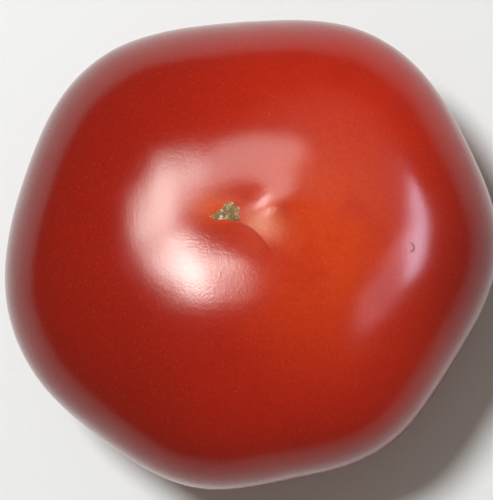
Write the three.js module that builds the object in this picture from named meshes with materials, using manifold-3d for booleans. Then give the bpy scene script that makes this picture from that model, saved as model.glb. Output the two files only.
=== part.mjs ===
// A ripe beefsteak tomato, picked without its calyx. It rests stem end down on the low points of its
// six lobes, with the shallow dimple and the corky scar of the blossom end on top.
// Millimetres, +Z up. The origin is on the resting plane, under the middle of the fruit's outline.
// Directions are in degrees from +X towards +Y, seen from above.
import * as THREE from "three";
import { mergeVertices } from "three/addons/utils/BufferGeometryUtils.js";
import Module from "manifold-3d";

const wasm = await Module();
wasm.setup();

// The body: its girth is the widest ring, the crown is above it and the shoulders are below it.
const BODY_RADIUS = 41.2; // at the girth, before the lobes swell it
const GIRTH_HEIGHT = 30;
const CROWN_RISE = 32;
const SHOULDER_DROP = 31.5;
const SETTLE = 0.5; // how far its own weight flattens the lobes that it rests on

// How square the profile is: 1 is an ellipse, and less has a flatter end and a tighter bend above the
// girth. The crown is rounder on one side than on the other.
const CROWN_SQUARENESS = 0.74;
const CROWN_ROUNDER = { at: 40, by: 0.08 };
const SHOULDER_SQUARENESS = 0.84;

// The six lobes, one over each seed chamber: direction, swell at the girth and angular spread.
const LOBES = [
  { at: 3, swell: 5.1, spread: 18 },
  { at: 57, swell: 7.2, spread: 23 },
  { at: 129, swell: 6, spread: 21 },
  { at: 196, swell: 5.4, spread: 25 },
  { at: 255, swell: 2.7, spread: 14 },
  { at: 306, swell: 2.4, spread: 14 },
];
const LOBE_FADE = 1.5; // how fast the lobes fade from the girth to the crown
const LOBE_DROP = 4; // how far the lobes hang down at the shoulders

// The two ends lie off the girth's middle, because the fruit grew a little crooked. A high bend keeps
// the sides upright and moves only the ends.
const BLOSSOM_END = new THREE.Vector2(-4.2, 6.4);
const STEM_END = new THREE.Vector2(2, -1);
const AXIS_BEND = 4;

// The blossom end: an oval dimple that opens into a shallow valley, a crease, a pleat with a steeper
// lip, and a corky scar. Each has its place beside the end of the axis and the direction it lies in.
const DIMPLE = { x: 2.3, y: 0.9, turn: 11, length: 5, width: 2.6, depth: 0.14 };
const VALLEY = { x: 5.2, y: -4.4, turn: -15, length: 6, width: 3.1, depth: 0.18 };
const CREASE = { x: 3.7, y: 0.6, turn: 41, length: 3, left: 2.2, right: 0.9, height: -0.09 };
const PLEAT = { x: 3.7, y: 0.5, turn: 12, length: 6.2, left: 4, right: 1.9, height: 0.22 };
const SCAR = { x: -0.35, y: -0.3, turn: 12, length: 5.8, width: 3.3, rise: 0.55 };

// The stem end: a deep cavity with the round corky scar that the stalk broke away from.
const CAVITY_DEPTH = 10;
const CAVITY_RADIUS = 13.5;
const STEM_SCAR_RADIUS = 4.5;
const STEM_SCAR_RISE = 0.8;
const STEM_SCAR_EDGE = 6; // how sharply the scar's edge falls

// The mesh: spokes round the axis, rings from end to end, and how strongly the rings crowd the ends.
const SPOKES = 90;
const RINGS = 58;
const RING_PULL = 0.6;

const SKIN = new THREE.MeshStandardMaterial({ color: 0xa8200f, roughness: 0.3, metalness: 0 });

const radians = THREE.MathUtils.degToRad;

// A bump of height 1 round a direction, smooth all the way round the axis.
function bump(azimuth, at, spread) {
  return Math.exp((Math.cos(azimuth - radians(at)) - 1) / radians(spread) ** 2);
}

function lobeSwell(azimuth) {
  return LOBES.reduce((sum, lobe) => sum + lobe.swell * bump(azimuth, lobe.at, lobe.spread), 0);
}

function lobeCrest(azimuth) {
  return LOBES.reduce((sum, lobe) => sum + bump(azimuth, lobe.at, lobe.spread), 0);
}

// The other coordinate of a superellipse, from 1 on the axis to 0 at the girth.
function profile(reach, squareness) {
  return Math.max(0, 1 - reach ** (2 / squareness)) ** (squareness / 2);
}

// A place measured along a mark of the blossom end and across it.
function alongAndAcross(x, y, mark) {
  const turn = radians(mark.turn);
  const along = (x - mark.x) * Math.cos(turn) + (y - mark.y) * Math.sin(turn);
  const across = (y - mark.y) * Math.cos(turn) - (x - mark.x) * Math.sin(turn);
  return { along, across };
}

function hollowDepth(x, y, hollow) {
  const { along, across } = alongAndAcross(x, y, hollow);
  return hollow.depth * Math.exp(-((along / hollow.length) ** 2) - (across / hollow.width) ** 2);
}

// A fold is a groove or a ridge: it starts at its place, is at its full height at its length, dies away
// beyond it, and is wider on its left than on its right.
function foldHeight(x, y, fold) {
  const { along, across } = alongAndAcross(x, y, fold);
  const reach = Math.max(0, along) / fold.length;
  const width = across > 0 ? fold.left : fold.right;
  return fold.height * reach ** 2 * Math.exp(1 - reach ** 2 - (across / width) ** 2);
}

// The scar's plateau: its full rise inside its oval and nothing outside, with a short slope between.
function scarRise(x, y) {
  const { along, across } = alongAndAcross(x, y, SCAR);
  const spread = ((2 * along) / SCAR.length) ** 2 + ((2 * across) / SCAR.width) ** 2;
  return SCAR.rise * Math.exp(-(spread ** 2));
}

// The height of the blossom end's marks over the smooth crown.
function blossomRelief(radius, azimuth) {
  const x = radius * Math.cos(azimuth);
  const y = radius * Math.sin(azimuth);
  const hollows = hollowDepth(x, y, DIMPLE) + hollowDepth(x, y, VALLEY);
  return foldHeight(x, y, CREASE) + foldHeight(x, y, PLEAT) + scarRise(x, y) - hollows;
}

// A point of the upper half, from the girth to the blossom scar.
function crownPoint(reach, azimuth) {
  const roundness = CROWN_ROUNDER.by * Math.cos(azimuth - radians(CROWN_ROUNDER.at));
  const rise = profile(reach, CROWN_SQUARENESS + roundness);
  const radius = (BODY_RADIUS + lobeSwell(azimuth) * reach ** LOBE_FADE) * reach;
  const height = GIRTH_HEIGHT + CROWN_RISE * rise + blossomRelief(radius, azimuth);
  return spokePoint(radius, azimuth, height, BLOSSOM_END, rise);
}

// A point of the lower half, from the girth to the stem scar.
function shoulderPoint(reach, azimuth) {
  const drop = profile(reach, SHOULDER_SQUARENESS);
  const radius = (BODY_RADIUS + lobeSwell(azimuth)) * reach;
  const hang = LOBE_DROP * lobeCrest(azimuth) * reach * drop;
  const cavity = CAVITY_DEPTH * Math.exp(-((radius / CAVITY_RADIUS) ** 2));
  const scar = STEM_SCAR_RISE * Math.exp(-((radius / STEM_SCAR_RADIUS) ** STEM_SCAR_EDGE));
  const height = GIRTH_HEIGHT - SHOULDER_DROP * drop - hang + cavity - scar;
  return spokePoint(radius, azimuth, height, STEM_END, drop);
}

// Places a point at a radius round the axis, which bends towards one end of the fruit.
function spokePoint(radius, azimuth, height, end, nearness) {
  const bend = nearness ** AXIS_BEND;
  return new THREE.Vector3(
    end.x * bend + radius * Math.cos(azimuth),
    end.y * bend + radius * Math.sin(azimuth),
    height,
  );
}

// A sphere whose points are moved out to the fruit's skin.
function fruitGeometry() {
  const sphere = new THREE.SphereGeometry(1, SPOKES, RINGS).rotateX(Math.PI / 2);
  const position = sphere.getAttribute("position");
  const from = new THREE.Vector3();
  for (let i = 0; i < position.count; i++) {
    from.fromBufferAttribute(position, i);
    const angle = Math.acos(THREE.MathUtils.clamp(from.z, -1, 1));
    const polar = angle - (RING_PULL * Math.sin(2 * angle)) / 2;
    const azimuth = Math.atan2(from.y, from.x);
    const place = polar < Math.PI / 2 ? crownPoint : shoulderPoint;
    const point = place(Math.sin(polar), azimuth);
    position.setXYZ(i, point.x, point.y, point.z);
  }
  return sphere;
}

// Sets the fruit's outline over the origin, with its lowest lobe sunk by the settling.
function standOverOrigin(geometry) {
  geometry.computeBoundingBox();
  const { min, max } = geometry.boundingBox;
  return geometry.translate(-(min.x + max.x) / 2, -(min.y + max.y) / 2, -min.z - SETTLE);
}

// The slab of everything just under the resting plane, which takes the lobes' undersides flat.
function underThePlane() {
  const side = 4 * BODY_RADIUS;
  const depth = 4 * SETTLE;
  return new THREE.BoxGeometry(side, side, depth).translate(0, 0, -depth / 2);
}

function solidOf(geometry) {
  geometry.deleteAttribute("normal");
  geometry.deleteAttribute("uv");
  const merged = mergeVertices(geometry);
  return new wasm.Manifold(
    new wasm.Mesh({
      numProp: 3,
      vertProperties: merged.getAttribute("position").array,
      triVerts: new Uint32Array(merged.index.array),
    }),
  );
}

function geometryOf(solid) {
  const mesh = solid.getMesh();
  const geometry = new THREE.BufferGeometry();
  geometry.setAttribute("position", new THREE.BufferAttribute(mesh.vertProperties, 3));
  geometry.setIndex(new THREE.BufferAttribute(mesh.triVerts, 1));
  geometry.computeVertexNormals();
  return geometry;
}

const body = solidOf(standOverOrigin(fruitGeometry()));
const settled = body.subtract(solidOf(underThePlane()));

const fruit = new THREE.Mesh(geometryOf(settled), SKIN);
fruit.name = "tomato";

const tomato = new THREE.Group();
tomato.add(fruit);

export default tomato;
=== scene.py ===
# %% [markdown]
# # A ripe beefsteak tomato
# The fruit lies stem end down, and the camera looks down on its blossom end: a shallow dimple with a
# corky scar, two small folds, and six soft lobes round the sides. The solid that this script loads has
# the same form with few faces. Here it gets a fine skin, the crust of its two scars, and their finishes.
# Everything is in metres, with +Z up and the origin on the floor under the fruit.

# %% The solid to dress
import math

import bpy
import numpy as np
from mathutils import Matrix, Vector


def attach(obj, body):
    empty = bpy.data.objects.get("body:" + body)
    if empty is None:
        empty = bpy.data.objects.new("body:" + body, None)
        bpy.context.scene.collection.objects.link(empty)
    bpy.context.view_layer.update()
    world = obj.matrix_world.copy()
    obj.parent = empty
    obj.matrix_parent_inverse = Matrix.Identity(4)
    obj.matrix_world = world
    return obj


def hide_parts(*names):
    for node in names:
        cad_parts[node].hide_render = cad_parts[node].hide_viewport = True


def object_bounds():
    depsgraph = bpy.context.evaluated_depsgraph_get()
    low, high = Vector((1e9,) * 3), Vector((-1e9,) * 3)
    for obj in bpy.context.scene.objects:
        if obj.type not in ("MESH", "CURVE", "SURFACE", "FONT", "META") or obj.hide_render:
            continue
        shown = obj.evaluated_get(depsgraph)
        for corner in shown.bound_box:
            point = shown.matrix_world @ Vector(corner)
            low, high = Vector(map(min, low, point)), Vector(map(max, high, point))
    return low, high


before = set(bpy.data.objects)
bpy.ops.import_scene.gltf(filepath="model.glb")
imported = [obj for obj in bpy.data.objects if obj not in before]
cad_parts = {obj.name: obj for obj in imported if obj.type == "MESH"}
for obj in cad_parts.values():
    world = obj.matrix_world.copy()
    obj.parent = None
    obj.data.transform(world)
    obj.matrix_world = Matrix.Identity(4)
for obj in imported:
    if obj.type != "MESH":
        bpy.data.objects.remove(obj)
cad_low, cad_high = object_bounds()
MM = 0.001
print("The solid measures", [round(side / MM, 1) for side in cad_high - cad_low], "mm")

# %% [markdown]
# ## The camera
# The picture was taken from almost straight above, close enough for the crown to look larger than the
# girth. A camera can be aimed with a constraint, but here its place is worked out from an angle and a
# distance, so that the scale is known: so many pixels to a millimetre at the point it is aimed at. A
# small shift puts that point where it lies in the picture without turning the camera.

# %% Camera
IMAGE_WIDTH = 493
IMAGE_HEIGHT = 500
SENSOR = 36
CAMERA_ELEVATION = math.radians(86)
CAMERA_DISTANCE = 450 * MM
AIM = Vector((0, 0, 33 * MM))
AIM_PIXEL_X = 252.4
AIM_PIXEL_Y = 253.8
PIXELS_PER_MM = 5.296


def add_to_scene(name, data):
    """Makes an object of a mesh, a light or a camera and links it into the scene."""
    made = bpy.data.objects.new(name, data)
    bpy.context.scene.collection.objects.link(made)
    return made


camera = add_to_scene("camera", bpy.data.cameras.new("camera"))
towards_camera = Vector((0, -math.cos(CAMERA_ELEVATION), math.sin(CAMERA_ELEVATION)))
camera.location = AIM + towards_camera * CAMERA_DISTANCE
camera.rotation_euler = towards_camera.to_track_quat("Z", "Y").to_euler()
camera.data.sensor_width = SENSOR
field = IMAGE_HEIGHT / PIXELS_PER_MM * MM
camera.data.lens = SENSOR * CAMERA_DISTANCE / field
camera.data.shift_x = (IMAGE_WIDTH / 2 - AIM_PIXEL_X) / IMAGE_HEIGHT
camera.data.shift_y = (AIM_PIXEL_Y - IMAGE_HEIGHT / 2) / IMAGE_HEIGHT
bpy.context.scene.camera = camera
print("The lens is", round(camera.data.lens), "mm, and the picture is", round(field / MM), "mm high")

# %% [markdown]
# ## The form of the fruit
# A tomato is a squat ball with a lobe over each seed chamber. It could be sculpted, or a sphere could be
# pushed about with modifiers. A formula is better here, because it gives the solid's form at any
# fineness: the crown above the girth and the shoulders below it are superellipses, which run from an
# ellipse to a square, and each lobe is a smooth bump round the axis. The axis bends, because the fruit
# grew a little crooked.

# %% Sizes of the body and its lobes
BODY_RADIUS = 41.2 * MM
GIRTH_HEIGHT = 30 * MM
CROWN_RISE = 32 * MM
SHOULDER_DROP = 31.5 * MM
SETTLE = 0.5 * MM
CROWN_SQUARENESS = 0.74
CROWN_ROUNDER_AT = math.radians(40)
CROWN_ROUNDER_BY = 0.08
SHOULDER_SQUARENESS = 0.84
LOBE_AT = np.radians([3, 57, 129, 196, 255, 306])
LOBE_SPREAD = np.radians([18, 23, 21, 25, 14, 14])
LOBE_SWELL = np.array([5.1, 7.2, 6.0, 5.4, 2.7, 2.4]) * MM
LOBE_FADE = 1.5
LOBE_DROP = 4 * MM
BLOSSOM_END = np.array([-4.2, 6.4]) * MM
STEM_END = np.array([2, -1]) * MM
AXIS_BEND = 4


def lobe_bumps(azimuth):
    """A bump of height 1 for each lobe: e to the power of the cosine of the angle from the lobe, less 1,
    over the square of its spread."""
    return np.exp((np.cos(azimuth[..., None] - LOBE_AT) - 1) / LOBE_SPREAD**2)


def profile(reach, squareness):
    """The superellipse: reach and the result, each raised to 2 over the squareness, add up to 1."""
    return np.clip(1 - reach ** (2 / squareness), 0, 1) ** (squareness / 2)


def on_bent_axis(radius, azimuth, height, end, nearness):
    """Points round the axis, which is off the middle by the end's offset times a power of nearness."""
    bend = nearness**AXIS_BEND
    x = end[0] * bend + radius * np.cos(azimuth)
    y = end[1] * bend + radius * np.sin(azimuth)
    return np.stack([x, y, height], axis=-1)


# %% [markdown]
# ## The two ends
# Where the flower fell, the crown has a shallow oval dimple that opens into a valley, and the skin beside
# the scar is gathered in two folds: a groove, and a pleat with a steep lower lip. Where the stalk broke
# off there is a deep cavity. They could be painted as bump, but they shape the highlights, so they are in
# the formula: a bell for each hollow, and for each fold a line with a height along it and a section
# across it.

# %% Sizes of the dimple, its folds and the cavity
DIMPLE_PLACE = np.array([2.3, 0.9]) * MM
DIMPLE_TURN = math.radians(11)
DIMPLE_LENGTH = 5.0 * MM
DIMPLE_WIDTH = 2.6 * MM
DIMPLE_DEPTH = 0.14 * MM
VALLEY_PLACE = np.array([5.2, -4.4]) * MM
VALLEY_TURN = math.radians(-15)
VALLEY_LENGTH = 6 * MM
VALLEY_WIDTH = 3.1 * MM
VALLEY_DEPTH = 0.18 * MM
GROOVE_START = np.array([3.7, 0.6]) * MM
GROOVE_TURN = math.radians(41)
GROOVE_LENGTH = 3 * MM
GROOVE_WIDTH = 2.2 * MM
GROOVE_EDGE = 0.9 * MM
GROOVE_DEPTH = 0.09 * MM
PLEAT_START = np.array([3.7, 0.5]) * MM
PLEAT_TURN = math.radians(12)
PLEAT_LENGTH = 6.2 * MM
PLEAT_WIDTH = 4 * MM
PLEAT_LIP = 1.9 * MM
PLEAT_HEIGHT = 0.22 * MM
CAVITY_DEPTH = 10 * MM
CAVITY_RADIUS = 13.5 * MM


def bell(distance):
    """A smooth bump of height 1 that is down to 1/e at distance 1."""
    return np.exp(-(distance**2))


def along_and_across(x, y, start, turn):
    """A place measured along a line and across it, from the line's start and the direction it runs in."""
    away_x = x - start[0]
    away_y = y - start[1]
    along = away_x * math.cos(turn) + away_y * math.sin(turn)
    across = away_y * math.cos(turn) - away_x * math.sin(turn)
    return along, across


def hollow(x, y, place, turn, length, width):
    """An oval bell of height 1: its distance is measured in the oval's own length and width."""
    along, across = along_and_across(x, y, place, turn)
    return bell(np.hypot(along / length, across / width))


def fold(x, y, start, turn, length, wide, narrow):
    """A fold of height 1. Along its line the height is nothing at the start, 1 at the length, and nothing
    far beyond: the square of the share, times e to the power of 1 less that square. The section is a wide
    bell on the left of the line and a narrow one on the right."""
    along, across = along_and_across(x, y, start, turn)
    share = np.maximum(along, 0) / length
    section = bell(across / np.where(across > 0, wide, narrow))
    return share**2 * np.exp(1 - share**2) * section


def blossom_relief(radius, azimuth):
    """The height over the smooth crown: the pleat, less the groove, the valley and the dimple."""
    x = radius * np.cos(azimuth)
    y = radius * np.sin(azimuth)
    dimple = hollow(x, y, DIMPLE_PLACE, DIMPLE_TURN, DIMPLE_LENGTH, DIMPLE_WIDTH)
    valley = hollow(x, y, VALLEY_PLACE, VALLEY_TURN, VALLEY_LENGTH, VALLEY_WIDTH)
    groove = fold(x, y, GROOVE_START, GROOVE_TURN, GROOVE_LENGTH, GROOVE_WIDTH, GROOVE_EDGE)
    pleat = fold(x, y, PLEAT_START, PLEAT_TURN, PLEAT_LENGTH, PLEAT_WIDTH, PLEAT_LIP)
    folds = PLEAT_HEIGHT * pleat - GROOVE_DEPTH * groove
    return folds - VALLEY_DEPTH * valley - DIMPLE_DEPTH * dimple


# %% Crown and shoulders
def crown(reach, azimuth):
    """The upper half: reach runs from 0 at the scar to 1 at the girth. The radius is the reach times the
    body's radius swollen by the lobes, and the height is a superellipse with the dimple's relief."""
    squareness = CROWN_SQUARENESS + CROWN_ROUNDER_BY * np.cos(azimuth - CROWN_ROUNDER_AT)
    rise = profile(reach, squareness)
    swell = lobe_bumps(azimuth) @ LOBE_SWELL
    radius = (BODY_RADIUS + swell * reach**LOBE_FADE) * reach
    height = GIRTH_HEIGHT + CROWN_RISE * rise
    height += blossom_relief(radius, azimuth)
    return on_bent_axis(radius, azimuth, height, BLOSSOM_END, rise)


def shoulders(reach, azimuth):
    """The lower half: the same sum upside down, with lobes that hang and a bell for the cavity."""
    drop = profile(reach, SHOULDER_SQUARENESS)
    bumps = lobe_bumps(azimuth)
    radius = (BODY_RADIUS + bumps @ LOBE_SWELL) * reach
    hang = LOBE_DROP * bumps.sum(axis=-1) * reach * drop
    height = GIRTH_HEIGHT - SHOULDER_DROP * drop - hang + CAVITY_DEPTH * bell(radius / CAVITY_RADIUS)
    return on_bent_axis(radius, azimuth, height, STEM_END, drop)


# %% [markdown]
# ## The skin as a mesh
# The grid has rings from the blossom end to the stem end and spokes round the axis, and the rings crowd
# towards the ends, where the form is finest. The two parameters go through the formula as whole arrays.
# The first and last rings shrink to a point, so each becomes one vertex with a fan of triangles, which
# closes the poles, and the last spoke is joined to the first.

# %% Grid and closed mesh
RING_PULL = 0.6


def polar_grid(rings, spokes):
    """Two arrays, rings by spokes: the share of the way from pole to pole, and the angle round the axis."""
    share = np.linspace(0, 1, rings)
    azimuth = np.linspace(0, 2 * math.pi, spokes, endpoint=False)
    return np.meshgrid(share, azimuth, indexing="ij")


def closed_mesh(name, points):
    """A closed mesh of a grid whose first and last rings are single points, with its faces outwards."""
    rings, spokes = points.shape[:2]
    vertices = np.vstack([points[0, :1], points[1:-1].reshape(-1, 3), points[-1, :1]])
    here = np.arange(spokes)
    there = np.roll(here, -1)
    row = 1 + spokes * np.arange(rings - 3)[:, None]
    quads = np.stack([row + here, row + spokes + here, row + spokes + there, row + there], axis=-1)
    last_row = 1 + spokes * (rings - 3)
    last = np.full(spokes, len(vertices) - 1)
    first_fan = np.stack([np.zeros_like(here), 1 + here, 1 + there], axis=-1)
    last_fan = np.stack([last_row + here, last, last_row + there], axis=-1)
    mesh = bpy.data.meshes.new(name)
    faces = [*first_fan.tolist(), *quads.reshape(-1, 4).tolist(), *last_fan.tolist()]
    mesh.from_pydata(vertices, [], faces)
    mesh.shade_smooth()
    return mesh


# %% [markdown]
# ## The skin's own unevenness
# No fruit is as smooth as a formula. Faint dents, a few hundredths of a millimetre deep, bend the edges
# of the highlights. Noise in the material could do that for the picture alone, but dents this wide belong
# in the mesh. A few dozen sine waves in random directions, added up, make them.

# %% Skin
SKIN_RINGS = 320
SKIN_SPOKES = 300
DENT_WAVES = 40
DENT_SHORTEST = 7 * MM
DENT_LONGEST = 22 * MM
DENT_HEIGHT = 0.006 * MM
DENT_SEED = 4


def dents(points):
    """The sum, at each point, of sines of the distance along random directions, with random lengths."""
    draw = np.random.default_rng(DENT_SEED)
    directions = draw.normal(size=(3, DENT_WAVES))
    directions /= np.linalg.norm(directions, axis=0)
    lengths = draw.uniform(DENT_SHORTEST, DENT_LONGEST, DENT_WAVES)
    phases = draw.uniform(0, 2 * math.pi, DENT_WAVES)
    return DENT_HEIGHT * np.sin(points @ (2 * math.pi * directions / lengths) + phases).sum(axis=-1)


def skin_points(share, azimuth):
    """The crown for the first half of the rings and the shoulders for the second, pushed in and out by
    the dents along the line from the fruit's middle."""
    angle = math.pi * share
    polar = angle - RING_PULL * np.sin(2 * angle) / 2
    reach = np.clip(np.sin(polar), 0, 1)
    upper = polar[..., None] < math.pi / 2
    points = np.where(upper, crown(reach, azimuth), shoulders(reach, azimuth))
    outwards = points - np.array([0, 0, GIRTH_HEIGHT])
    outwards /= np.linalg.norm(outwards, axis=-1, keepdims=True)
    return points + outwards * dents(points)[..., None]


raw_points = skin_points(*polar_grid(SKIN_RINGS, SKIN_SPOKES))
raw_low = raw_points.reshape(-1, 3).min(axis=0)
raw_high = raw_points.reshape(-1, 3).max(axis=0)
raw_floor = np.array([(raw_low[0] + raw_high[0]) / 2, (raw_low[1] + raw_high[1]) / 2, raw_low[2] + SETTLE])
fit = np.array(cad_high - cad_low) / (raw_high - raw_low)
fit[2] = 1  # the solid's highest point is its scar, so the skin isn't stretched up to it


def stand(points):
    """Moves points of the formula to where the solid stands, and fits their width and depth to its box.
    What the fruit's weight presses flat is held at the floor."""
    placed = (points - raw_floor) * fit
    placed[..., 2] = np.maximum(placed[..., 2], 0)
    return placed


skin = add_to_scene("tomato_skin", closed_mesh("tomato_skin", stand(raw_points)))
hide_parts("tomato")
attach(skin, "root")
print("The skin has", len(skin.data.polygons), "faces, and is scaled to the solid by", fit.round(4))

# %% [markdown]
# ## The blossom scar
# The scar is a wedge of dry cork, pointed at one end, that cracked into lumps and small flakes as the
# fruit swelled under it. They could be loose scraps scattered on the skin, but a crust is one piece with
# cracks in it. So it is a closed patch over the dimple: each point of its top belongs to the nearest of
# some random seeds, which gives it a flake with a height and a tilt of its own, and where two seeds are
# equally near there is a crack. A few seeds make the lumps and many more make the small flakes on them.
# The crack, the flake's tone and how near the thin edge is are kept as attributes, for the finish.

# %% Blossom scar
SCAR_LENGTH = 5.8 * MM
SCAR_WIDTH = 3.3 * MM
SCAR_TURN = math.radians(12)
SCAR_TAPER = 0.7
SCAR_PLACE = np.array([-0.35, -0.3]) * MM
SCAR_RISE = 0.14 * MM
SCAR_ROOT = 0.5 * MM
SCAR_RAGGED = 0.1
SCAR_WAVES = 9
SCAR_RINGS = 140
SCAR_SPOKES = 260
LUMP_COUNT = 8
LUMP_RISE = 0.12 * MM
FLAKE_COUNT = 48
FLAKE_RISE = 0.24 * MM
FLAKE_TILT = 0.4
CRACK_WIDTH = 0.06 * MM
CRACK_DEPTH = 0.1 * MM
CRACK_SHARE = 0.7  # how much of a crack shows
LUMP_TONE = 0.3  # the lumps' share of the tone, beside the flakes'
EDGE_POWER = 8  # how sharply a scar falls at its edge
THIN_POWER = 5  # how narrow its thin edge is
FLAKE_SEED = 11


def ragged(azimuth, seed, waves, amount):
    """1 plus a sum of sines round the edge, with random phases and less height the faster they are."""
    draw = np.random.default_rng(seed)
    pace = np.arange(2, 2 + waves)
    phases = draw.uniform(0, 2 * math.pi, waves)
    return 1 + amount * (np.sin(azimuth[..., None] * pace + phases) / np.sqrt(pace)).sum(axis=-1)


def wedge(share, azimuth):
    """The scar's plan: an oval, narrower across towards one end, with a ragged edge, then turned."""
    reach = share * ragged(azimuth, FLAKE_SEED, SCAR_WAVES, SCAR_RAGGED)
    along = SCAR_LENGTH / 2 * reach * np.cos(azimuth)
    across = SCAR_WIDTH / 2 * reach * np.sin(azimuth) * (1 + SCAR_TAPER * np.cos(azimuth))
    x = along * math.cos(SCAR_TURN) - across * math.sin(SCAR_TURN)
    y = along * math.sin(SCAR_TURN) + across * math.cos(SCAR_TURN)
    return x + SCAR_PLACE[0], y + SCAR_PLACE[1]


def flakes(x, y, count, rise, draw):
    """For each place, the height and tone of the nearest seed's flake, and how far into a crack it is: 1
    where the two nearest seeds are equally far, falling to 0 at a crack's width."""
    seed_x, seed_y = wedge(np.sqrt(draw.uniform(0, 1, count)), draw.uniform(0, 2 * math.pi, count))
    away_x = x[..., None] - seed_x
    away_y = y[..., None] - seed_y
    apart = np.hypot(away_x, away_y)
    nearest = apart.argmin(axis=-1)[..., None]
    flake = nearest[..., 0]
    two = np.partition(apart, 1, axis=-1)
    crack = bell((two[..., 1] - two[..., 0]) / CRACK_WIDTH / 2)
    tilt_x, tilt_y = draw.normal(0, FLAKE_TILT, (2, count))
    height = draw.uniform(0, rise, count)[flake]
    height = height + tilt_x[flake] * np.take_along_axis(away_x, nearest, -1)[..., 0]
    height = height + tilt_y[flake] * np.take_along_axis(away_y, nearest, -1)[..., 0]
    tone = draw.uniform(0, 1, count)[flake]
    return np.clip(height, 0, rise), tone, crack


def crown_place(x, y):
    """The point of the crown over a place beside the scar's middle."""
    return crown(np.hypot(x, y) / BODY_RADIUS, np.arctan2(y, x))


def keep_attribute(mesh, name, values):
    """Keeps one number for each vertex of a closed mesh of a grid."""
    flat = np.concatenate([values[0, :1], values[1:-1].ravel(), values[-1, :1]])
    mesh.attributes.new(name, "FLOAT", "POINT").data.foreach_set("value", flat)


def blossom_scar():
    """A closed patch: its top runs from the middle to the edge, and its underside back to the middle. The
    top's height over the crown is the rise, the lump and the flake, less the crack, and it falls to the
    root at the edge."""
    share, azimuth = polar_grid(SCAR_RINGS, SCAR_SPOKES)
    top = share < 0.5
    plan = np.where(top, 2 * share, 2 - 2 * share)
    x, y = wedge(plan, azimuth)
    draw = np.random.default_rng(FLAKE_SEED)
    lump, lump_tone, lump_crack = flakes(x, y, LUMP_COUNT, LUMP_RISE, draw)
    flake, flake_tone, flake_crack = flakes(x, y, FLAKE_COUNT, FLAKE_RISE, draw)
    crack = CRACK_SHARE * np.maximum(lump_crack, flake_crack)
    edge = 1 - plan**EDGE_POWER
    lift = (SCAR_RISE + lump + flake - CRACK_DEPTH * crack) * edge - SCAR_ROOT * (1 - edge)
    points = crown_place(x, y)
    points[..., 2] += np.where(top, lift, -SCAR_ROOT)
    mesh = closed_mesh("blossom_scar", stand(points))
    keep_attribute(mesh, "tone", LUMP_TONE * lump_tone + (1 - LUMP_TONE) * flake_tone)
    keep_attribute(mesh, "crack", crack)
    keep_attribute(mesh, "thin", plan**THIN_POWER)
    return add_to_scene("blossom_scar", mesh)


scar = blossom_scar()
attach(scar, "root")
print("The blossom scar has", LUMP_COUNT, "lumps and", FLAKE_COUNT, "flakes")

# %% [markdown]
# ## The stem scar
# Under the fruit, in the cavity, is the round corky scar that the stalk broke away from. It has a raised
# rim, cracks that run out from the middle, and the stub of the stalk's woody core. The same closed patch
# serves, over the shoulders' formula: the rim is a bell along the radius, and the cracks are narrow dips
# round the axis.

# %% Stem scar
STEM_SCAR_RADIUS = 4.6 * MM
STEM_SCAR_RISE = 0.7 * MM
STEM_SCAR_ROOT = 0.6 * MM
STEM_RIM_RISE = 0.35 * MM
STEM_RIM_AT = 0.72
STEM_RIM_WIDTH = 0.16
STEM_CORE_RISE = 0.6 * MM
STEM_CORE_WIDTH = 0.22
STEM_CRACKS = 10
STEM_CRACK_DEPTH = 0.45 * MM
STEM_CRACK_WIDTH = 0.16
STEM_WANDER = 0.3
WANDER_ROUND = 2
WANDER_OUTWARDS = 3
STEM_RAGGED = 0.05
STEM_WAVES = 8
STEM_TONE = 0.4
STEM_MOTTLE = 0.2
MOTTLE_ROUND = 5
MOTTLE_OUTWARDS = 9
STEM_RINGS = 80
STEM_SPOKES = 220
STEM_SEED = 7


def shoulder_place(x, y):
    """The point of the shoulders under a place beside the cavity's middle."""
    azimuth = np.arctan2(y, x)
    reach = np.hypot(x, y) / (BODY_RADIUS + lobe_bumps(azimuth) @ LOBE_SWELL)
    return shoulders(reach, azimuth)


def stem_scar():
    """A closed patch whose underside is the one that shows: the upper side is inside the fruit. It hangs
    by the rise, a bell for the rim and one for the core, less the cracks, which are narrow bells where
    the sine of a wandering angle is near 0."""
    share, azimuth = polar_grid(STEM_RINGS, STEM_SPOKES)
    inside = share < 0.5
    plan = np.where(inside, 2 * share, 2 - 2 * share)
    radius = STEM_SCAR_RADIUS * plan * ragged(azimuth, STEM_SEED, STEM_WAVES, STEM_RAGGED)
    points = shoulder_place(radius * np.cos(azimuth), radius * np.sin(azimuth))
    sway = np.sin(WANDER_ROUND * azimuth + WANDER_OUTWARDS * plan)
    wander = azimuth * STEM_CRACKS / 2 + STEM_WANDER * sway
    crack = bell(np.sin(wander) / STEM_CRACK_WIDTH) * np.clip(2 * plan, 0, 1)
    rim = STEM_RIM_RISE * bell((plan - STEM_RIM_AT) / STEM_RIM_WIDTH)
    core = STEM_CORE_RISE * bell(plan / STEM_CORE_WIDTH)
    edge = 1 - plan**EDGE_POWER
    hang = (STEM_SCAR_RISE + rim + core - STEM_CRACK_DEPTH * crack) * edge - STEM_SCAR_ROOT * (1 - edge)
    points[..., 2] += np.where(inside, STEM_SCAR_ROOT, -hang)
    mesh = closed_mesh("stem_scar", stand(points))
    mottle = np.sin(MOTTLE_ROUND * azimuth) * np.sin(MOTTLE_OUTWARDS * plan)
    keep_attribute(mesh, "tone", STEM_TONE + STEM_MOTTLE * mottle)
    keep_attribute(mesh, "crack", crack)
    keep_attribute(mesh, "thin", plan**THIN_POWER)
    return add_to_scene("stem_scar", mesh)


stem = stem_scar()
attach(stem, "root")
print("The stem scar is", 2 * STEM_SCAR_RADIUS / MM, "mm across, in", len(stem.data.polygons), "faces")

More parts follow.
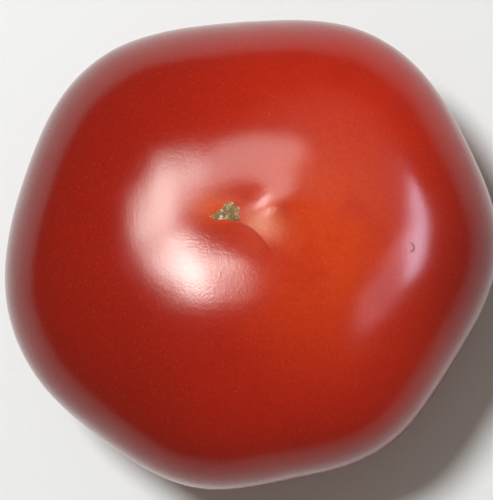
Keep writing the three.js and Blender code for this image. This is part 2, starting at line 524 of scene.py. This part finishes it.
# %% [markdown]
# ## Shader sums in Python
# A finish is a graph of nodes, and sums of masks take many Math nodes. Linking them by hand hides what is
# added to what. This small class holds one socket, and its operators add the Math nodes, so a mask reads
# as a sum. Every other node comes from its one method, which sets the node's settings first and then its
# sockets, by a value or by a link.

# %% Sockets with operators
MIX_FACTOR = 0
MIX_FIRST = 6
MIX_SECOND = 7
MIX_RESULT = 2


class Shade:
    """An output socket of a shader node that takes part in Python sums."""

    def __init__(self, tree, socket=None):
        self.tree = tree
        self.socket = socket

    def node(self, kind, sockets=None, output=0, **settings):
        """Adds a node of a kind, with its settings, then a value or a link for each of its sockets."""
        made = self.tree.nodes.new(kind)
        for name, value in settings.items():
            setattr(made, name, value)
        for name, value in (sockets or {}).items():
            if isinstance(value, Shade):
                self.tree.links.new(value.socket, made.inputs[name])
            else:
                made.inputs[name].default_value = value
        return Shade(self.tree, made.outputs[output])

    def math(self, operation, first, second=0.0):
        """Adds a Math node for an operation on two numbers or sockets."""
        return self.node("ShaderNodeMath", {0: first, 1: second}, operation=operation)

    def __add__(self, other):
        return self.math("ADD", self, other)

    def __radd__(self, other):
        return self.math("ADD", other, self)

    def __sub__(self, other):
        return self.math("SUBTRACT", self, other)

    def __rsub__(self, other):
        return self.math("SUBTRACT", other, self)

    def __mul__(self, other):
        return self.math("MULTIPLY", self, other)

    def __rmul__(self, other):
        return self.math("MULTIPLY", other, self)

    def __truediv__(self, other):
        return self.math("DIVIDE", self, other)

    def __rpow__(self, other):
        return self.math("POWER", other, self)

    def __neg__(self):
        return self.math("MULTIPLY", self, -1.0)


# %% Masks and mixes
def smooth(value, low, high):
    """0 below the low value, 1 above the high one, and a smooth step between."""
    sockets = {"Value": value, "From Min": low, "From Max": high}
    return value.node("ShaderNodeMapRange", sockets, interpolation_type="SMOOTHSTEP")


def noise(place, size, detail=2.0, roughness=0.5):
    """Cloudy noise about 0.5, whose lumps are about as wide as the size in metres."""
    sockets = {"Vector": place, "Scale": 1 / size, "Detail": detail, "Roughness": roughness}
    return place.node("ShaderNodeTexNoise", sockets)


def fine_grain(place, size):
    """Noise with more and rougher detail than the clouds have."""
    return noise(place, size, detail=3.0, roughness=0.6)


def spot(place, centre, radii):
    """A bell of height 1 round a centre, with a radius of its own along each axis."""
    offset = place.node("ShaderNodeVectorMath", {0: place, 1: centre}, operation="SUBTRACT")
    scaled = place.node("ShaderNodeVectorMath", {0: offset, 1: radii}, operation="DIVIDE")
    apart = place.node("ShaderNodeVectorMath", {0: scaled, 1: scaled}, output=1, operation="DOT_PRODUCT")
    return math.e ** -apart


def blend(factor, first, second):
    """The first colour where the factor is 0 and the second where it is 1."""
    sockets = {MIX_FACTOR: factor, MIX_FIRST: first, MIX_SECOND: second}
    return factor.node("ShaderNodeMix", sockets, MIX_RESULT, data_type="RGBA")


def dimmed(paint, amount):
    """A colour multiplied by a value."""
    sockets = {0: paint, "Scale": amount}
    return paint.node("ShaderNodeVectorMath", sockets, operation="SCALE")


def new_finish(name, **constants):
    """A material with one Principled shader, with the constants set on its own sockets."""
    material = bpy.data.materials.new(name)
    material.use_nodes = True
    tree = material.node_tree
    shader = tree.nodes["Principled BSDF"]
    for socket, value in constants.items():
        shader.inputs[socket.replace("_", " ")].default_value = value
    start = Shade(tree)
    place = start.node("ShaderNodeTexCoord", output="Object")
    return material, shader, place


def feed(shader, **inputs):
    """Links values that change over the surface into the shader."""
    for socket, value in inputs.items():
        value.tree.links.new(value.socket, shader.inputs[socket.replace("_", " ")])


def raised(height):
    """A bumped normal for a height in metres."""
    return height.node("ShaderNodeBump", {"Strength": 1.0, "Distance": 1.0, "Height": height})


# %% [markdown]
# ## The red of the skin
# Ripe skin isn't evenly red. The crown is painted brighter than the sides, and brighter still at the right,
# and the right flank is painted darker: all three are painted shade. An orange flush is left beside the
# scar where it ripened last, with a yellower tinge close round the scar, the pleat has a painted tan sheen
# above a painted line of shade under its lip, and a paler ring lies in the stem cavity. Tiny gold specks
# are scattered all over, and one small hooked nick is on the right shoulder. All this could be painted on
# an image, but a mask for each, worked out from the place on the fruit, needs no unwrapping. Each mask
# lays one colour over the last.

# %% Colours of the skin and where they lie
def colour(red, green, blue):
    """A colour in linear light, with the fourth number that Blender's colour sockets take."""
    return (red, green, blue, 1.0)


# painted shade: the sides of the fruit get a darker red than the crown
SHADED_RED = colour(0.28, 0.009, 0.003)
CROWN_RED = colour(0.42, 0.014, 0.004)
FLUSH_ORANGE = colour(0.58, 0.05, 0.007)
SCAR_ORANGE = colour(0.62, 0.07, 0.006)
# painted sheen: a pale tan over the pleat's lit top
PLEAT_PAINTED_SHEEN = colour(0.62, 0.16, 0.06)
# painted shade: a dark line in the crease under the pleat's lip
LIP_PAINTED_SHADE = colour(0.2, 0.02, 0.006)
# painted shade: the right flank is painted a darker red
FLANK_PAINTED_SHADE = colour(0.14, 0.005, 0.003)
STEM_PALE = colour(0.42, 0.16, 0.02)
SPECK_GOLD = colour(0.62, 0.22, 0.05)
NICK_DARK = colour(0.03, 0.008, 0.006)

scar_place = Vector(stand(crown_place(np.zeros(1), np.zeros(1)))[0])
stem_place = Vector(stand(shoulder_place(np.zeros(1), np.zeros(1)))[0])
print("The blossom scar is", round(scar_place.z / MM, 1), "mm above the floor, and the stem scar is",
      round(stem_place.z / MM, 1), "mm above it")
FLUSH_PLACE = scar_place + Vector((18, -4, 0)) * MM
FLUSH_RADII = Vector((15, 19, 20)) * MM
# where the right flank's painted shade lies
FLANK_SHADE_PLACE = Vector((46, -2, 30)) * MM
FLANK_SHADE_RADII = Vector((17, 26, 40)) * MM
TINGE_PLACE = scar_place + Vector((-2.4, 0.4, 0)) * MM
TINGE_RADII = Vector((4, 3, 9)) * MM
PLEAT_MIDDLE = scar_place + Vector((6.1, -2.6, 0)) * MM
PLEAT_RADII = Vector((3.9, 2.8, 9)) * MM
STEM_RING_RADII = Vector((8, 8, 5)) * MM
SPECK_SPACING = 0.8 * MM
SPECK_INNER = 0.05
SPECK_OUTER = 0.22

# %% The lip's line and the nick
LIP_START = scar_place + Vector((1.1, -1.9, 0)) * MM
LIP_SLOPE = 0.08
LIP_CURVE = 0.12 / MM
LIP_LINE = 0.3 * MM
NICK_PLACE = Vector((28.2, -0.5, 55)) * MM
NICK_RADIUS = 0.8 * MM
NICK_WIDTH = 0.12 * MM
NICK_REACH = Vector((2, 2, 9)) * MM


def axes(place, centre):
    """How far a place is from a centre to the right and to the back."""
    offset = place.node("ShaderNodeVectorMath", {0: place, 1: centre}, operation="SUBTRACT")
    right = place.node("ShaderNodeSeparateXYZ", {"Vector": offset}, output="X")
    back = place.node("ShaderNodeSeparateXYZ", {"Vector": offset}, output="Y")
    return right, back


def above_lip(place):
    """How far a place is behind the pleat's lip, which is a line that bends like a parabola."""
    right, back = axes(place, LIP_START)
    return back - right * LIP_SLOPE + right * right * LIP_CURVE


def nick(place):
    """A hook-shaped mark: the right half of a thin ring, as a bell of the distance from the ring."""
    right, back = axes(place, NICK_PLACE)
    off_ring = (right * right + back * back - NICK_RADIUS**2) / (2 * NICK_RADIUS * NICK_WIDTH)
    half = smooth(right, -NICK_RADIUS / 4, NICK_RADIUS / 2) * spot(place, NICK_PLACE, NICK_REACH)
    return half * math.e ** -(off_ring * off_ring)


def specks(place):
    """A dot in the middle of each cell of a Voronoi pattern."""
    cells = {"Vector": place, "Scale": 1 / SPECK_SPACING}
    from_middle = place.node("ShaderNodeTexVoronoi", cells, output="Distance")
    return 1 - smooth(from_middle, SPECK_INNER, SPECK_OUTER)


# %% Red with painted shade
CLOUD_SIZE = 9 * MM
CROWN_FROM = 34 * MM
CROWN_TO = 58 * MM
CROWN_STRAY = 6 * MM
# painted shade: the left of the crown is painted darker and the right lighter
LIT_SIDE_FROM = -26 * MM
LIT_SIDE_TO = 14 * MM
LIT_SIDE_STRAY = 10 * MM
LIT_SIDE_LEAST = 0.35
FLUSH_THIN = 0.1
FLUSH_FULL = 0.6


def red_with_painted_shade(place):
    """The darker red of the sides and the brighter red of the crown, brightest at the right, which are
    painted shade, the orange flush and the flank's painted shade. A cloudy noise makes their edges stray."""
    height = place.node("ShaderNodeSeparateXYZ", {"Vector": place}, output="Z")
    across = place.node("ShaderNodeSeparateXYZ", {"Vector": place}, output="X")
    cloud = noise(place, CLOUD_SIZE)
    on_crown = smooth(height + (cloud - 0.5) * CROWN_STRAY, CROWN_FROM, CROWN_TO)
    lit_side = smooth(across + (cloud - 0.5) * LIT_SIDE_STRAY, LIT_SIDE_FROM, LIT_SIDE_TO)
    # painted shade: darker on the sides and the left, lighter on the crown and the right
    red = blend(on_crown * (LIT_SIDE_LEAST + (1 - LIT_SIDE_LEAST) * lit_side), SHADED_RED, CROWN_RED)
    flush = spot(place, FLUSH_PLACE, FLUSH_RADII) * smooth(cloud, FLUSH_THIN, FLUSH_FULL)
    red = blend(flush, red, FLUSH_ORANGE)
    # the right flank's painted shade
    return blend(spot(place, FLANK_SHADE_PLACE, FLANK_SHADE_RADII), red, FLANK_PAINTED_SHADE)


# %% Marks on the red
TINGE_STRENGTH = 0.85
PLEAT_SHEEN_STRENGTH = 0.75
LIP_SHADE_STRENGTH = 0.7
STEM_RING_STRENGTH = 0.8
SPECK_STRENGTH = 0.15


def marked_red(red, place, speck, nicked):
    """The tinge round the scar, the pleat's painted sheen and the painted shade under its lip, the stem's
    ring, the specks and the nick, laid over the red."""
    red = blend(spot(place, TINGE_PLACE, TINGE_RADII) * TINGE_STRENGTH, red, SCAR_ORANGE)
    round_pleat = spot(place, PLEAT_MIDDLE, PLEAT_RADII)
    over_lip = above_lip(place)
    on_pleat = round_pleat * smooth(over_lip, -LIP_LINE / 2, LIP_LINE)
    # painted sheen on the pleat
    red = blend(on_pleat * PLEAT_SHEEN_STRENGTH, red, PLEAT_PAINTED_SHEEN)
    # painted shade in the crease under the pleat's lip
    shade_under_lip = smooth(over_lip, -2 * LIP_LINE, -LIP_LINE) - smooth(over_lip, -LIP_LINE, 0)
    red = blend(round_pleat * shade_under_lip * LIP_SHADE_STRENGTH, red, LIP_PAINTED_SHADE)
    red = blend(spot(place, stem_place, STEM_RING_RADII) * STEM_RING_STRENGTH, red, STEM_PALE)
    red = blend(speck * SPECK_STRENGTH, red, SPECK_GOLD)
    return blend(nicked, red, NICK_DARK), on_pleat


# %% [markdown]
# ## The gloss of the skin
# A thin clear wax makes the skin as glossy as smooth plastic. It is a little rougher on the pleat and in
# the nick, and smoother in the dimple, which keeps the hollow dark beside the bright ring. Lumps less than
# a millimetre wide and about a hundredth of a millimetre high break up the highlights. They are too fine
# for the mesh, so they are bump.

# %% Skin finish
GRAIN_SIZE = 0.7 * MM
GRAIN_DARKEST = 0.8
GRAIN_SPAN = 0.4
SKIN_ROUGHNESS = 0.14
GRAIN_ROUGHER = 0.05
PLEAT_ROUGHER = 0.06
NICK_ROUGHER = 0.4
DIMPLE_SMOOTHER = 0.075
DIMPLE_GLOSS_PLACE = scar_place + Vector((-1, -2, 0)) * MM
DIMPLE_GLOSS_RADII = Vector((5, 4, 9)) * MM
LARGE_LUMP = 0.9 * MM
LARGE_LUMP_HEIGHT = 0.004 * MM
SMALL_LUMP = 0.4 * MM
SMALL_LUMP_HEIGHT = 0.011 * MM
SPECK_PIT = 0.002 * MM


def skin_finish():
    """The marked red times the grain, a roughness that is a sum of the grain and the masks, and a bump of
    two sizes of lumps, less a pit for each speck."""
    material, shader, place = new_finish("ripe_skin", IOR=1.45)
    grain = fine_grain(place, GRAIN_SIZE)
    speck = specks(place)
    nicked = nick(place)
    red, on_pleat = marked_red(red_with_painted_shade(place), place, speck, nicked)
    feed(shader, Base_Color=dimmed(red, GRAIN_DARKEST + GRAIN_SPAN * grain))
    in_dimple = spot(place, DIMPLE_GLOSS_PLACE, DIMPLE_GLOSS_RADII)
    rough = SKIN_ROUGHNESS + GRAIN_ROUGHER * grain + PLEAT_ROUGHER * on_pleat
    feed(shader, Roughness=rough - DIMPLE_SMOOTHER * in_dimple + NICK_ROUGHER * nicked)
    large = noise(place, LARGE_LUMP, detail=1.0) * LARGE_LUMP_HEIGHT
    small = noise(place, SMALL_LUMP, detail=1.0) * SMALL_LUMP_HEIGHT
    feed(shader, Normal=raised(large + small - speck * SPECK_PIT))
    return material


skin.data.materials.append(skin_finish())
print("The skin's finish has", len(skin.active_material.node_tree.nodes), "nodes")

# %% [markdown]
# ## The cork of the scars
# Dry cork is matt. Its flakes run from olive through brown to a pale straw, the cracks between them are
# darker, and the thin edge takes on the orange of the skin below. The attributes that were kept on
# the patches say which is which, and a little noise makes the flakes grainy.

# %% Cork finish
CORK_PALE = colour(0.85, 0.64, 0.44)
CORK_BROWN = colour(0.42, 0.28, 0.14)
CORK_OLIVE = colour(0.2, 0.14, 0.05)
CORK_THIN = colour(0.5, 0.17, 0.06)
CRACK_DARK = colour(0.13, 0.085, 0.025)
CORK_GRAIN = 0.25 * MM
CORK_GRAIN_HEIGHT = 0.03 * MM
CORK_GRAIN_SHARE = 0.2
CORK_DARKEST = 0.75
CORK_SPAN = 0.5
CORK_ROUGHNESS = 0.7
CORK_ROUGHER = 0.2
OLIVE_BELOW = 0.05
BROWN_AT = 0.4
PALE_ABOVE = 0.75
THIN_STRENGTH = 0.5


def cork_finish():
    """The flake's tone, mixed with grain, goes from olive through brown to straw. The cracks and the thin
    edge are laid over it."""
    material, shader, place = new_finish("dry_cork")
    tone = place.node("ShaderNodeAttribute", output="Fac", attribute_name="tone")
    crack = place.node("ShaderNodeAttribute", output="Fac", attribute_name="crack")
    thin = place.node("ShaderNodeAttribute", output="Fac", attribute_name="thin")
    grain = fine_grain(place, CORK_GRAIN)
    mottle = tone * (1 - CORK_GRAIN_SHARE) + grain * CORK_GRAIN_SHARE
    flake = blend(smooth(mottle, OLIVE_BELOW, BROWN_AT), CORK_OLIVE, CORK_BROWN)
    flake = blend(smooth(mottle, BROWN_AT, PALE_ABOVE), flake, CORK_PALE)
    flake = blend(crack, flake, CRACK_DARK)
    flake = blend(thin * THIN_STRENGTH, flake, CORK_THIN)
    feed(shader, Base_Color=dimmed(flake, CORK_DARKEST + CORK_SPAN * grain))
    feed(shader, Roughness=CORK_ROUGHNESS + CORK_ROUGHER * grain)
    feed(shader, Normal=raised(grain * CORK_GRAIN_HEIGHT))
    return material


cork = cork_finish()
scar.data.materials.append(cork)
stem.data.materials.append(cork)
print("The cork's finish has", len(cork.node_tree.nodes), "nodes, and both scars share it")

# %% [markdown]
# ## The floor
# The fruit lies on a plain pale surface. One large square is enough. A trace of grain keeps it from
# looking like empty paper, and it isn't part of the fruit.

# %% Floor
FLOOR_HALF = 3.0
FLOOR_LIGHT = colour(0.93, 0.94, 0.935)
FLOOR_SHADE = colour(0.87, 0.88, 0.875)
FLOOR_GRAIN = 0.8 * MM


def floor_finish():
    """Two pale greys, mixed by the grain."""
    material, shader, place = new_finish("pale_floor", Roughness=0.7)
    grain = fine_grain(place, FLOOR_GRAIN)
    feed(shader, Base_Color=blend(grain, FLOOR_SHADE, FLOOR_LIGHT))
    return material


corners = FLOOR_HALF * np.array([[-1, -1, 0], [1, -1, 0], [1, 1, 0], [-1, 1, 0]])
floor_mesh = bpy.data.meshes.new("floor")
floor_mesh.from_pydata(corners, [], [(0, 1, 2, 3)])
floor_mesh.materials.append(floor_finish())
floor = add_to_scene("floor", floor_mesh)
print("The floor is", 2 * FLOOR_HALF, "m wide")

# %% [markdown]
# ## Soft lights
# Every light here is an oval area light that faces the fruit. It is set by its brightness, and its power
# follows from its area, so its mirror image stays as bright when the light is made wider. Blender lets a
# light show in reflections alone, or light the colours alone, and this script uses both kinds: what the
# gloss mirrors can then be placed without changing how bright the red is.

# %% Kinds of light
LIGHT_CENTRE = Vector((0, 0, 50 * MM))
WHITE = (1, 1, 1)


def direction(azimuth, elevation):
    """The unit vector at an angle round from +X and an angle above the floor, in degrees."""
    turn = math.radians(azimuth)
    tilt = math.radians(elevation)
    return Vector((math.cos(turn) * math.cos(tilt), math.sin(turn) * math.cos(tilt), math.sin(tilt)))


def soft_light(name, azimuth, elevation, roll, distance, width, depth, brightness, tint=WHITE):
    """An oval light that faces the fruit. Its power is its brightness times pi times its area."""
    light = bpy.data.lights.new(name, "AREA")
    light.shape = "ELLIPSE"
    light.size = width
    light.size_y = depth
    light.energy = brightness * math.pi * (math.pi / 4 * width * depth)
    light.color = tint
    made = add_to_scene(name, light)
    away = direction(azimuth, elevation)
    facing = away.to_track_quat("Z", "Y").to_matrix() @ Matrix.Rotation(math.radians(roll), 3, "Z")
    made.location = LIGHT_CENTRE + away * distance
    made.rotation_euler = facing.to_euler()
    print(name, "gives", round(light.energy, 2), "W")
    return made


def gloss_light(name, **settings):
    """A soft light that shows in reflections alone."""
    made = soft_light(name, **settings)
    made.visible_diffuse = False


def colour_light(name, **settings):
    """A soft light that reflections don't show."""
    made = soft_light(name, roll=0, **settings)
    made.visible_glossy = False
    return made


# %% [markdown]
# ## The highlights
# The highlight on the crown is an open ring, because the lights that it mirrors lie in one: a lamp at the
# left with a dim halo, a brighter core below it with a small bulb, and a dim panel of ceiling at the upper
# right. The dimple in the middle mirrors the dark between them. A cool side panel, with a dim glow beside
# it, is the band along the right shoulder.

# %% Lights that the gloss mirrors
LAMP_WARM = (1, 0.99, 0.93)
PANEL_WARM = (1, 0.97, 0.92)
SIDE_COOL = (0.75, 0.78, 1)
GLOW_LILAC = (0.85, 0.8, 1)

gloss_light(
    "lamp", azimuth=144.9, elevation=74.5, roll=25.1,
    distance=0.6, width=0.19, depth=0.094, brightness=12.2, tint=LAMP_WARM,
)
gloss_light(
    "lamp_halo", azimuth=142.3, elevation=73.6, roll=25.7,
    distance=0.6, width=0.246, depth=0.16, brightness=5, tint=LAMP_WARM,
)
gloss_light(
    "lamp_core", azimuth=211, elevation=83.3, roll=62,
    distance=0.6, width=0.132, depth=0.082, brightness=24, tint=LAMP_WARM,
)
gloss_light(
    "lamp_bulb", azimuth=207.5, elevation=82.4, roll=0,
    distance=0.6, width=0.05, depth=0.05, brightness=20, tint=LAMP_WARM,
)
gloss_light(
    "ceiling_panel", azimuth=73, elevation=71, roll=47,
    distance=0.8, width=0.456, depth=0.187, brightness=6.2, tint=PANEL_WARM,
)
gloss_light(
    "side_panel", azimuth=7, elevation=33, roll=-15,
    distance=0.9, width=0.62, depth=0.14, brightness=11.5, tint=SIDE_COOL,
)
gloss_light(
    "side_glow", azimuth=350, elevation=42, roll=-25,
    distance=0.9, width=0.5, depth=0.2, brightness=2.5, tint=GLOW_LILAC,
)

# %% [markdown]
# ## The colours and the shadow
# An overhead light and a fill from the upper right bring out the reds. The picture's shadow is darker than
# such soft light would leave it, so the floor has a smaller lamp of its own, from the upper left. Light
# linking keeps them apart: each light has a collection of the objects that it lights, while every object
# still casts a shadow in it. A dim warm room lights the rest.

# %% Lights for the colours and the floor
SHADOW_COOL = (0.95, 0.99, 1)
ROOM_WARM = colour(1, 0.89, 0.76)
ROOM_STRENGTH = 0.17


def lit_only(name, lit):
    """A collection of objects for a light to be linked to."""
    group = bpy.data.collections.new(name)
    for each in lit:
        group.objects.link(each)
    return group


overhead = colour_light(
    "overhead", azimuth=165, elevation=78, distance=0.7, width=0.3, depth=0.3, brightness=11.6
)
fill = colour_light("fill", azimuth=45, elevation=45, distance=0.35, width=0.28, depth=0.28, brightness=3.9)
fill.data.use_shadow = False
shadow_lamp = colour_light(
    "shadow_lamp", azimuth=143, elevation=70,
    distance=0.7, width=0.13, depth=0.13, brightness=112, tint=SHADOW_COOL,
)
fruit_only = lit_only("fruit_only", [skin, scar, stem])
floor_only = lit_only("floor_only", [floor])
overhead.light_linking.receiver_collection = fruit_only
fill.light_linking.receiver_collection = fruit_only
shadow_lamp.light_linking.receiver_collection = floor_only

room = bpy.data.worlds.new("pale_room")
bpy.context.scene.world = room
room.use_nodes = True
background = room.node_tree.nodes["Background"]
background.inputs["Color"].default_value = ROOM_WARM
background.inputs["Strength"].default_value = ROOM_STRENGTH
bpy.context.scene.view_settings.view_transform = "Standard"
